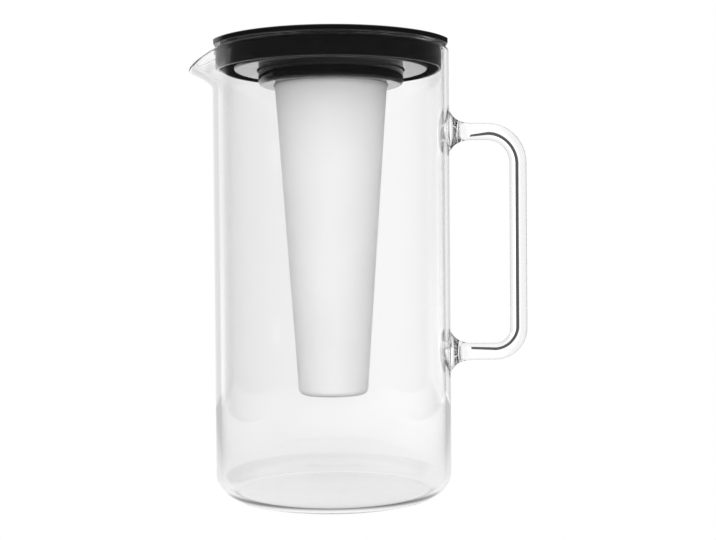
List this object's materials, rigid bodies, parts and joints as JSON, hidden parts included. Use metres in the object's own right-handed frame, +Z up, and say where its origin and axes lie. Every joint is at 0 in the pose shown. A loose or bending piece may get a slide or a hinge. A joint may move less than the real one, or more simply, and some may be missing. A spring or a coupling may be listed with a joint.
{
  "type": "iced tea maker",
  "caption": "Straight glass jug with a pouring lip and a rod handle, a push-in lid, and a closed tapered tube that a screw collar holds under the lid.",
  "frame": {"origin": "middle of the jug's round base, on the surface that it stands on", "axes": "+Z up along the jug's axis, +X towards the handle, -X towards the spout"},
  "size_m": [0.1505, 0.109, 0.2004],
  "materials": {
    "jug_glass": "clear, polished",
    "black_plastic": "moulded, smooth and glossy",
    "frosted_plastic": "frosted, translucent white",
    "silicone": "soft, slightly cloudy"
  },
  "bodies": {
    "jug": {"jug_body": "jug_glass", "jug_handle": "jug_glass"},
    "lid": {"lid": "black_plastic"},
    "tube": {"insert_tube": "frosted_plastic", "tube_gasket": "silicone"},
    "collar": {"collar": "black_plastic"}
  },
  "joints": [
    {"name": "lid_lift", "type": "slide", "parent": "jug", "child": "lid", "axis": [0, 0, 1], "range_m": [0, 0.18]},
    {"name": "tube_drop", "type": "slide", "parent": "lid", "child": "tube", "axis": [0, 0, -1], "range_m": [0, 0.009]},
    {"name": "collar_turn", "type": "hinge", "parent": "tube", "child": "collar", "pos_m": [0, 0, 0.19], "axis": [0, 0, -1], "range_deg": [0, 540]}
  ],
  "couplings": [
    {"joint": "tube_drop", "follows": "collar_turn", "m_per_rad": 0.0009549}
  ]
}
